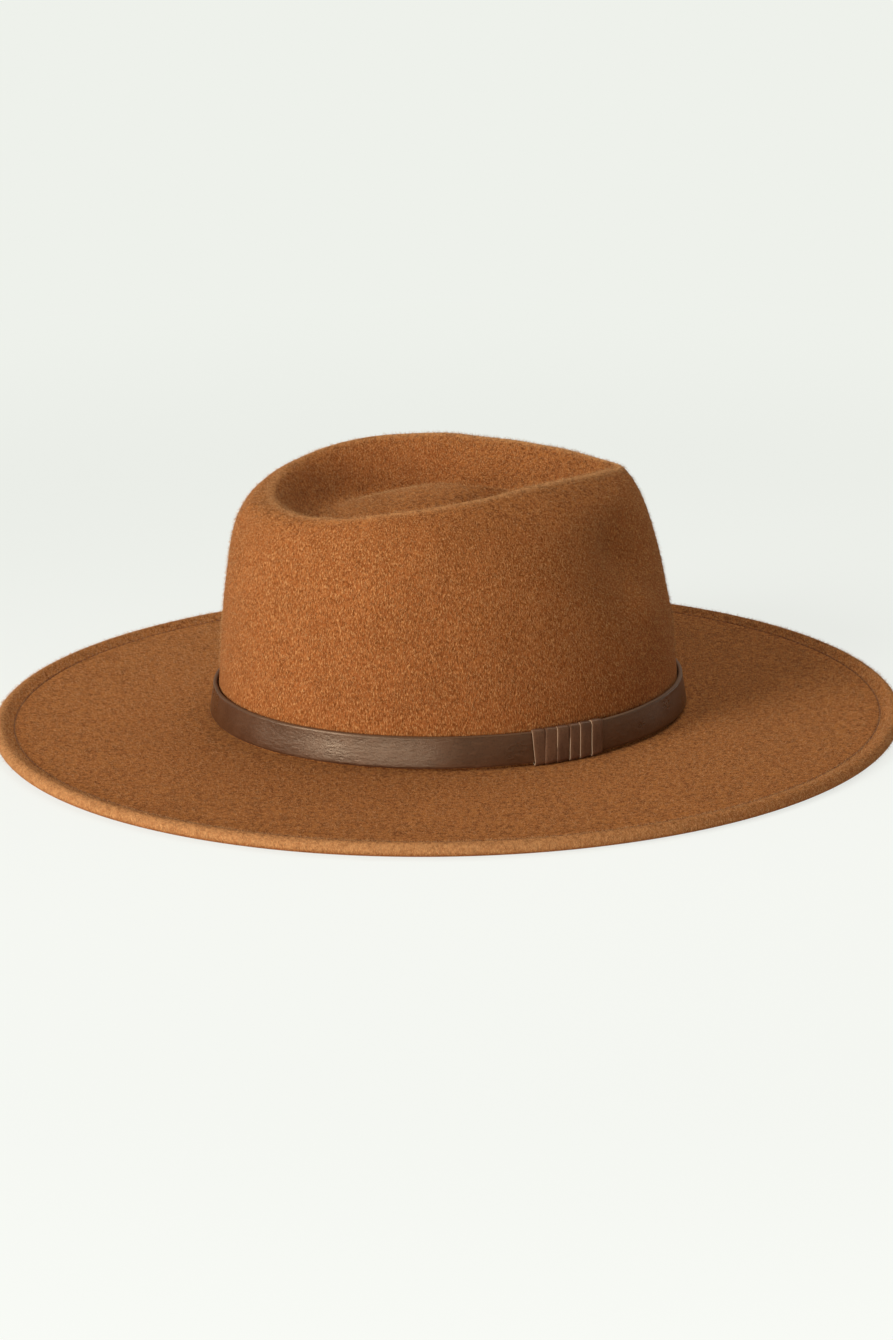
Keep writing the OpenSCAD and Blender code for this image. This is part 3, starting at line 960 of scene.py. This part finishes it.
@dataclass
class FeltNap:
    """Loose fibres that stand out of the felt's brushed face and soften its outline.

    They are drawn a tenth of a millimetre wide, coarser than wool, so that the picture can show them.
    """

    felt: FeltBody
    finish: Material
    seed: int = 11
    shortest: float = 0.7
    longest: float = 2.2
    half_width: float = 0.05
    raised: float = 0.5
    brushed: float = 0.5
    tangled: float = 0.45
    least_rise: float = 0.3
    root_depth: float = 0.1
    band_clear: float = 20.0
    band_fade: float = 12.0
    wall_count: int = 49000
    dent_count: int = 30000
    brim_count: int = 49000
    edge_count: int = 30000

    def build(self) -> None:
        """Scatters fibres over the dent, the wall above the hatband, the brim and its rolled edge."""
        f = self.felt.form
        crown, _ = self.felt.crown_skins()
        rim = self.felt.rim_row
        wall = crown[rim:]
        self.scatter("dent_nap", crown[: rim + 4], self.dent_count, np.ones((rim + 3, 1)))
        above = wall[:-1, :, 2] - f.break_z - self.band_clear
        self.scatter("wall_nap", wall, self.wall_count, ease(above / self.band_fade))
        brim = self.felt.brim_face(0.0)[2:]
        self.scatter("brim_nap", brim, self.brim_count, np.ones((len(brim) - 1, 1)))
        edge = self.felt.edge()[: self.felt.roll_rows]
        self.scatter("edge_nap", edge, self.edge_count, np.ones((len(edge) - 1, 1)))

    def scatter(self, name: str, rings: Array, count: int, weight: Array) -> Piece:
        """Plants fibres on a grid of rings, as many on each patch as its area and weight ask for.

        A fibre is a slim spike of three sides, closed at its root. Its way is the sum of the face's normal,
        the way of the brush and a normal deviate.

        Args:
            name: the piece's name.
            rings: the rings of the face, each closed on itself.
            count: number of fibres.
            weight: density of fibres by patch.

        Returns:
            The nap piece.
        """
        rng = np.random.default_rng(self.seed)
        first = rings[:-1]
        round_way, down = np.roll(first, -1, 1) - first, rings[1:] - first
        normal = np.cross(down, round_way)
        share = np.cumsum((np.linalg.norm(normal, axis=-1) * weight).ravel())
        pick = np.searchsorted(share / share[-1], rng.random(count))
        start, along, across, out = (v.reshape(-1, 3)[pick] for v in (first, round_way, down, unit(normal)))
        root = start + along * rng.random((count, 1)) + across * rng.random((count, 1))
        way = self.raised * out + self.brushed * unit(across) + self.tangled * rng.normal(size=(count, 3))
        way = unit(way + out * np.maximum(0, self.least_rise - np.sum(way * out, -1, keepdims=True)))
        side = unit(np.cross(way, rng.normal(size=(count, 3))))
        angle = full_turn(3)[:, None]
        foot = np.cos(angle) * side[:, None] + np.sin(angle) * np.cross(way, side)[:, None]
        foot = root[:, None] - self.root_depth * out[:, None] + self.half_width * foot
        tip = root + way * rng.uniform(self.shortest, self.longest, (count, 1))
        points = np.concatenate([foot, tip[:, None]], 1)
        spike = np.array([[0, 1, 3], [1, 2, 3], [2, 0, 3], [0, 2, 1]])
        faces = (np.arange(count)[:, None, None] * 4 + spike).reshape(-1, 3)
        piece = make_piece(name, points, [faces], self.finish)
        add_attribute(piece, "tone", np.repeat(rng.random(count), 4))
        cells = int(np.ceil(np.sqrt(count)))
        cell = np.stack([np.arange(count) % cells, np.arange(count) // cells], -1)[:, None]
        inside = np.array([[0.2, 0.2], [0.8, 0.2], [0.5, 0.5], [0.5, 0.8]])
        add_uv(piece, (cell + inside) / cells / MM, "OFBake")
        return mount(piece, Body.HAT, Slot.FELT)


@dataclass
class StitchRow:
    """A row of single lockstitches that follows a line round the hat."""

    name: str
    node: str
    finish: Material
    pitch: float = 3.1
    radius: float = 0.3
    half_length: float = 0.46
    taper: float = 0.45
    dip: float = 0.35
    sides: int = 6
    rings: int = 7

    def build(self, line: Array, face: Array) -> Piece:
        """Lays stitches along a closed line.

        Each stitch is a tapered tube whose middle lies on the face and whose ends dip into it, by a cosine.

        Args:
            line: dense points of the closed line, in millimetres.
            face: outward direction of the face at each point.

        Returns:
            The thread piece.
        """
        closed, normal = (np.concatenate([v, v[:1]]) for v in (line, face))
        reach = distances(closed)
        count = int(round(reach[-1] / self.pitch))
        along = np.linspace(-self.half_length, self.half_length, self.rings)
        s = (np.arange(count)[:, None] + 0.5 + along) * (reach[-1] / count)
        centre = follow(s, reach, closed)
        up = unit(follow(s, reach, normal))
        ahead = unit(follow((s + 0.4) % reach[-1], reach, closed) - centre)
        side = unit(np.cross(up, ahead))
        arch = np.cos(along / 0.5 * np.pi / 2)
        radius = self.radius * (1 - self.taper + self.taper * arch)
        centre = centre + up * ((arch - 1.0) * self.dip)[:, None]
        a = full_turn(self.sides)
        around = np.cos(a)[:, None] * side[..., None, :] + np.sin(a)[:, None] * up[..., None, :]
        points = centre[..., None, :] + radius[:, None, None] * around
        each = self.rings * self.sides
        quads = grid_faces(self.rings, self.sides)[:, ::-1]
        ring = np.arange(self.sides)
        caps = np.stack([ring[::-1], ring + each - self.sides])
        start = (np.arange(count) * each)[:, None, None]
        faces = [(quads + start).reshape(-1, 4), (caps + start).reshape(-1, self.sides)]
        piece = make_piece(self.name, points, faces, self.finish)
        add_uv(piece, np.stack(np.broadcast_arrays(s[..., None], a * self.radius), -1))
        return mount(piece, Body.HAT, Slot.THREAD, self.node)


@dataclass
class BrimStitching:
    """The two threads of the row that holds the welt."""

    form: HatForm
    finish: Material
    top_sink: float = 0.2
    bobbin_rise: float = 0.25
    samples: int = 1440

    def build(self) -> None:
        """Lays the upper thread in the groove on the brim and the bobbin thread under the welt."""
        f = self.form
        t = full_turn(self.samples)
        plan = f.brim_in(t, np.full_like(t, f.stitch_inset))
        up = np.broadcast_to([0.0, 0.0, 1.0], (self.samples, 3))
        top_line = lift(plan, f.stitched_z - self.top_sink)
        StitchRow("brim_stitches", "brim_top_thread", self.finish).build(top_line, up)
        bobbin = StitchRow("welt_stitches", "brim_bobbin_thread", self.finish, radius=0.22)
        bobbin.build(lift(plan, self.bobbin_rise), -up)


@dataclass
class Sweatband:
    """Grosgrain ribbon inside the crown's base, its stitches and the tape over its joint."""

    form: HatForm
    ribbon: Material
    thread: Material
    height: float = 32.0
    rib_pitch: float = 1.0
    rib_depth: float = 0.16
    end_gap: float = 0.6
    tape_width: float = 14.0
    tape_thickness: float = 0.5
    tape_gap: float = 0.05
    tape_insets: Span = (3.9, 1.0)
    stitch_rise: float = 3.0
    stitch_clear: float = 0.1
    samples: int = 1440

    @property
    def low(self) -> float:
        """Height of the ribbon's lower edge."""
        return self.form.break_z + self.form.break_radius

    def strip(self, name: str, node: str, ends: Span, depth: Span, edges: Span) -> Piece:
        """A ribbed ribbon that follows the inside of the wall.

        Each rib is a raised cosine along the ribbon; both faces and the rounded long edges form one closed
        section.

        Args:
            name, node: the piece and the CAD node it replaces.
            ends: oval angles of its ends.
            depth: distance from the felt, and thickness.
            edges: heights of its edges.

        Returns:
            The ribbon piece.
        """
        f = self.form
        (start, end), (near, thick), (low, high) = ends, depth, edges
        ribs = max(8, int((end - start) * np.mean(f.crown) / self.rib_pitch))
        t = np.linspace(start, end, ribs * 4 + 1)
        wave = 0.5 - 0.5 * np.cos(np.linspace(0, ribs * 2 * np.pi, len(t)))
        up = np.linspace(0, 1, 9)
        z = mix(low, high, np.concatenate([up, up[::-1]]))
        hug = 1 - 0.35 * (np.abs(2 * up - 1) ** 8)
        tt, zz = np.meshgrid(t, z, indexing="ij")
        inner = near + thick - self.rib_depth * (1 - wave[:, None]) - (1 - hug) * 0.2
        inset = np.concatenate([np.full_like(inner, near), inner[:, ::-1]], axis=1)
        points = lift(f.wall_at(tt, zz) - (f.felt + inset)[..., None] * f.outward(tt), zz)
        piece = make_piece(name, points, tube_faces(*tt.shape), self.ribbon)
        # The rib wave, stored as edge, darkens the ribbon's valleys in its material: painted shade.
        add_attribute(piece, "edge", np.broadcast_to(wave[:, None], tt.shape))
        add_uv(piece, np.stack([tt * np.mean(f.crown), zz], -1))
        return mount(piece, Body.HAT, Slot.GROSGRAIN, node)

    def build(self) -> None:
        """Builds ribbon, joint tape and stitches."""
        f = self.form
        half_gap = self.end_gap / 2 / f.crown[1]
        near = f.ribbon_gap
        far = near + f.ribbon
        top = self.low + self.height
        ends = (np.pi + half_gap, 3 * np.pi - half_gap)
        band = self.strip("sweatband_ribbon", "sweatband", ends, (near, f.ribbon), (self.low, top))
        a, b = (axis - f.felt - far for axis in f.crown)
        half = self.tape_width / 2 / f.crown[1]
        ends = (np.pi - half, np.pi + half)
        depth = (far + self.tape_gap, self.tape_thickness)
        edges = (self.low + self.tape_insets[0], top - self.tape_insets[1])
        tape = self.strip("sweatband_tape", "sweatband_join_tape", ends, depth, edges)
        # The tape is as long as the ribbon is high, less its two insets.
        t = full_turn(self.samples)
        z = np.full_like(t, self.low + self.stitch_rise)
        line = lift(f.wall_at(t, z) - (f.felt + far + self.stitch_clear) * f.outward(t), z)
        face = lift(-f.outward(t), 0.0)
        row = StitchRow("sweatband_stitches", "sweatband_thread", self.thread, pitch=3.4, radius=0.26)
        row.build(line, face)


@dataclass
class Hatband:
    """Slip-on leather strap with a thong wound round its butted ends.

    Crossing holds the mesh's places across half the thong, and pale edges, for each turn, the share of the
    strap's height over which its cut edge shows pale.
    """

    form: HatForm
    strap_finish: Material
    thong_finish: Material
    width: float = 13.5
    thickness: float = 1.8
    thong: float = 0.9
    slip_gap: float = 0.35
    seat_gap: float = 0.05
    rise: float = 1.4
    edge_round: float = 0.55
    hug: float = 0.8
    end_gap: float = 1.0
    pitch: float = 5.5
    turns: int = 6
    keeper_angle: float = -70.0
    first_lean: float = 0.9
    other_lean: float = 0.7
    wander: float = 0.3
    still_share: float = 0.54
    back_wide: float = 0.91
    front_wider: float = 0.22
    thong_body: float = 0.8
    thong_lap: float = 0.85
    thong_thin: float = 0.45
    crossing: tuple[float, ...] = (0.2, 0.5, 0.75, 0.88, 0.96, 1.0)
    pale_edges: tuple[Span, ...] = ((0, 1), (2, 2), (0.5, 1), (0, 0.6), (0, 1), (0, 1))
    steps: int = 720
    strap_points: int = 64
    turn_points: int = 96

    @property
    def gap(self) -> float:
        """Distance of the strap's back from the felt."""
        return self.slip_gap + self.thong + self.seat_gap

    @property
    def low(self) -> float:
        """Height of the strap's lower edge."""
        return self.form.break_z + self.rise

    @property
    def keeper_place(self) -> Span:
        """The oval angle of the keeper's middle, and millimetres per radian there."""
        middle = np.radians(self.keeper_angle)
        a, b = self.form.crown
        return middle, np.hypot(a * np.sin(middle), b * np.cos(middle))

    def section(self, grow: float, count: int) -> tuple[Array, Array, Array]:
        """A rounded rectangle round the strap's section, by arc length.

        Args:
            grow: distance outside the strap's own section.
            count: points round it.

        Returns:
            Distances from the felt, heights, and outward directions in that plane.
        """
        r = self.edge_round
        near, far = self.gap + r, self.gap + self.thickness - r
        low, high = self.low + r, self.low + self.width - r
        corner = np.array([[near, low], [far, low], [far, high], [near, high]])
        angle = np.radians(np.array([180, 270, 0, 90])[:, None] + np.linspace(0, 90, 9))
        way = np.stack([np.cos(angle), np.sin(angle)], -1).reshape(-1, 2)
        base = np.repeat(corner, 9, axis=0) + r * way
        base, way = (np.concatenate([v, v[:1]]) for v in (base, way))
        reach = distances(base)
        at = np.linspace(0, reach[-1], count, endpoint=False)
        out = unit(follow(at, reach, way))
        place = follow(at, reach, base) + grow * out
        return place[:, 0], place[:, 1], out

    def build(self) -> None:
        """Builds the strap and the keeper."""
        self.build_strap()
        self.build_keeper()

    def build_strap(self) -> Piece:
        """Carries the rounded section round the crown, with a slow waver of the free upper edge."""
        f = self.form
        middle, speed = self.keeper_place
        half = self.end_gap / 2 / speed
        t = np.linspace(middle + half, middle + 2 * np.pi - half, self.steps)
        out, z, way = self.section(0.0, self.strap_points)
        tt = np.broadcast_to(t[:, None], (len(t), len(z)))
        high = ease((z - self.low) / self.width)
        waver = 0.25 * np.sin(5 * tt + 0.6) * np.sin(2 * tt + 1.0) + 0.12 * np.sin(17 * tt)
        clear = ease(np.minimum(tt - t[0], t[-1] - tt) / 0.35 - 0.5)
        points = f.beside(tt, z, out + high * (np.abs(waver) - self.hug * clear))
        piece = make_piece("leather_strap", points, tube_faces(*tt.shape), self.strap_finish)
        add_attribute(piece, "edge", np.broadcast_to(ease(np.abs(way[:, 1]) * 1.6 - 0.55), tt.shape))
        add_uv(piece, np.stack([tt * np.mean(f.crown), np.broadcast_to(z + out, tt.shape)], -1))
        return mount(piece, Body.HATBAND, Slot.STRAP, "hatband_strap")

    def build_keeper(self) -> Piece:
        """Winds a flat thong round the strap.

        The thong goes up in front of the strap and moves along by one pitch on its way down behind it. In
        front each turn lies on the edge of the one before it, so its leading edge stands up by the thong's
        thickness.
        """
        each = self.turn_points
        k = np.arange(self.turns * each + 1)
        out, z, way = (v[k % each] for v in self.section(self.seat_gap, each))
        number = np.minimum(k // each, self.turns - 1)
        share = k / each - number
        height = (z - self.low) / self.width
        front = ease((way[:, 0] + 0.2) / 0.6)
        lean = np.where(number == 0, -self.first_lean, self.other_lean) * (height - 0.5)
        wander = self.wander * np.sin(2.4 * number + 0.8)
        moved = ease((share - self.still_share) / (1 - self.still_share))
        along = (number + moved - self.turns / 2 + 0.25) * self.pitch + front * (wander + lean)
        half = np.array(self.crossing)
        top = np.concatenate([-half[::-1], half])
        across = np.concatenate([top, top[::-1]])
        upper = np.repeat([1.0, 0.0], len(top))
        width = self.pitch * (self.back_wide + self.front_wider * front)
        crown = 1 - self.thong_thin * np.abs(across) ** 6
        tuck = (1 - across) / 2
        grow = upper * self.thong * self.thong_body * crown
        grow = grow + front[:, None] * tuck * self.thong * self.thong_lap
        s = along[:, None] + across * width[:, None] / 2
        d = out[:, None] + way[:, :1] * grow
        h = z[:, None] + way[:, 1:] * grow
        middle, speed = self.keeper_place
        points = self.form.beside(middle + s / speed, h, d)
        piece = make_piece("keeper_thong", points, tube_faces(*s.shape, turned=True), self.thong_finish)
        low, high = np.asarray(self.pale_edges)[number % len(self.pale_edges)].T
        shown = ease((height - low) / 0.12 + 1) * ease((high - height) / 0.12 + 1)
        add_attribute(piece, "edge", shown[:, None] * ease((-across - 0.95) / 0.05))
        round_length = (number + share) * 2 * (self.width + self.thickness)
        add_uv(piece, np.stack([np.broadcast_to(round_length[:, None], s.shape), s], -1))
        return mount(piece, Body.HATBAND, Slot.THONG, "keeper_wrap")


class WireParts:
    """The brim's wire and its sleeve, sealed in the fold: the CAD's own solids with a metal finish."""

    def __init__(self, steel: Material, brass: Material) -> None:
        """Keeps the finishes by CAD node."""
        self.finishes = {"brim_wire": steel, "wire_joiner": brass}

    def build(self) -> None:
        """Dresses the two nodes."""
        for node, finish in self.finishes.items():
            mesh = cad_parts[node].data
            mesh.materials.clear()
            mesh.materials.append(finish)
            LOG.info("%s: CAD solid", node)


@dataclass
class Studio:
    """Pale floor, soft lamps and the camera at the photograph's angle, in metres but for the floor."""

    azimuth: float = -12.0
    elevation: float = 18.17
    distance: float = 1.972
    aim_right: float = -0.0012
    aim_up: float = 0.02174
    focal_pixels: float = 4429.0
    picture_height: float = 1340.0
    sensor: float = 36.0
    floor_half: float = 40000.0
    floor_lines: int = 13
    floor_drop: float = 0.02
    room: str = "F4F4F0"
    room_strength: float = 0.2
    axes: tuple[Vector, Vector, Vector] = field(init=False)

    def __post_init__(self) -> None:
        """Works out the picture's right, up and towards-the-viewer directions."""
        a, e = np.radians([self.azimuth, self.elevation])
        back = Vector((np.sin(a) * np.cos(e), -np.cos(a) * np.cos(e), np.sin(e)))
        right = Vector((np.cos(a), np.sin(a), 0.0))
        self.axes = (right, back.cross(right), back)

    def build(self, paper: Material) -> None:
        """Builds camera, floor, lamps and world."""
        self.add_camera()
        self.add_floor(paper)
        self.add_lamps()
        bpy.context.scene.view_settings.view_transform = "Standard"

    def add_camera(self) -> None:
        """Places the camera by the picture's axes and a lens from its focal length in pixels."""
        right, up, back = self.axes
        data = bpy.data.cameras.new("view")
        data.sensor_fit = "VERTICAL"
        data.sensor_height = self.sensor
        data.lens = self.focal_pixels / self.picture_height * self.sensor
        camera = bpy.data.objects.new("view", data)
        place = right * self.aim_right + up * self.aim_up + back * self.distance
        facing = Matrix((right, up, back)).transposed().to_4x4()
        camera.matrix_world = Matrix.Translation(place) @ facing
        bpy.context.scene.collection.objects.link(camera)
        bpy.context.scene.camera = camera

    def add_floor(self, paper: Material) -> None:
        """A level sheet, far larger than the view."""
        lines = self.floor_lines
        side = np.linspace(-self.floor_half, self.floor_half, lines)
        x, y = np.meshgrid(side, side)
        points = np.stack([x, y, np.full_like(x, -self.floor_drop)], -1)
        faces = grid_faces(lines, lines, closed=False)[:, ::-1]
        floor = make_piece("paper_floor", points, [faces], paper)

    def add_lamp(self, name: str, place: tuple[float, float, float], size: Span, power: float) -> None:
        """An oblong soft lamp aimed at the hat.

        Args:
            name: the lamp's name.
            place: metres to the right in the picture, upwards, and level towards the viewer.
            size: width and height in metres.
            power: watts.
        """
        right, _, back = self.axes
        level = Vector((back.x, back.y, 0.0)).normalized()
        data = bpy.data.lights.new(name, "AREA")
        data.shape = "RECTANGLE"
        data.size, data.size_y = size
        data.energy = power
        lamp = bpy.data.objects.new(name, data)
        lamp.location = right * place[0] + level * place[2] + Vector((0, 0, place[1]))
        lamp.rotation_euler = (Vector((0, 0, 0.05)) - lamp.location).to_track_quat("-Z", "Y").to_euler()
        bpy.context.scene.collection.objects.link(lamp)

    def add_lamps(self) -> None:
        """A key on the left in front, two wide low lamps beside it, a weak top light, and a pale world."""
        self.add_lamp("key_lamp", (-3.3, 2.1, 2.6), (1.6, 1.6), 150.0)
        self.add_lamp("low_left_lamp", (-2.8, 0.29, 1.6), (2.9, 0.51), 27.0)
        self.add_lamp("low_front_lamp", (-1.25, 0.29, 3.0), (2.9, 0.51), 30.0)
        self.add_lamp("top_lamp", (0.6, 2.0, -0.9), (1.6, 1.6), 21.5)
        world = bpy.data.worlds.new("pale_room")
        world.use_nodes = True
        shade = world.node_tree.nodes["Background"]
        shade.inputs["Color"].default_value = linear(self.room)
        shade.inputs["Strength"].default_value = self.room_strength
        bpy.context.scene.world = world


def main() -> None:
    """Builds the finishes, the pieces and the studio in order."""
    logging.basicConfig(level=logging.INFO, format="%(name)s %(message)s")
    form = HatForm()
    felt = WoolFelt().build()
    strap = StrapLeather("waxed_strap_leather", "4F2F1B", "432716", "6E4932", "664730").build()
    soft = (0.36, 0.48)
    thong = StrapLeather("thong_leather", "6E4A33", "583927", "815B43", "A98B6E", wax=0.7, gloss=soft).build()
    thread = SewingThread().build()
    grosgrain = Grosgrain().build()
    Studio().build(PaperSweep().build())
    body = FeltBody(form, felt)
    body.build()
    FeltNap(body, WoolFibre().build()).build()
    BrimStitching(form, thread).build()
    Sweatband(form, grosgrain, thread).build()
    Hatband(form, strap, thong).build()
    steel = DrawnMetal("spring_steel", "B9B9BC", 0.3).build()
    brass = DrawnMetal("brass_tube", "C9A04F", 0.28).build()
    WireParts(steel, brass).build()


if __name__ == "__main__":
    main()
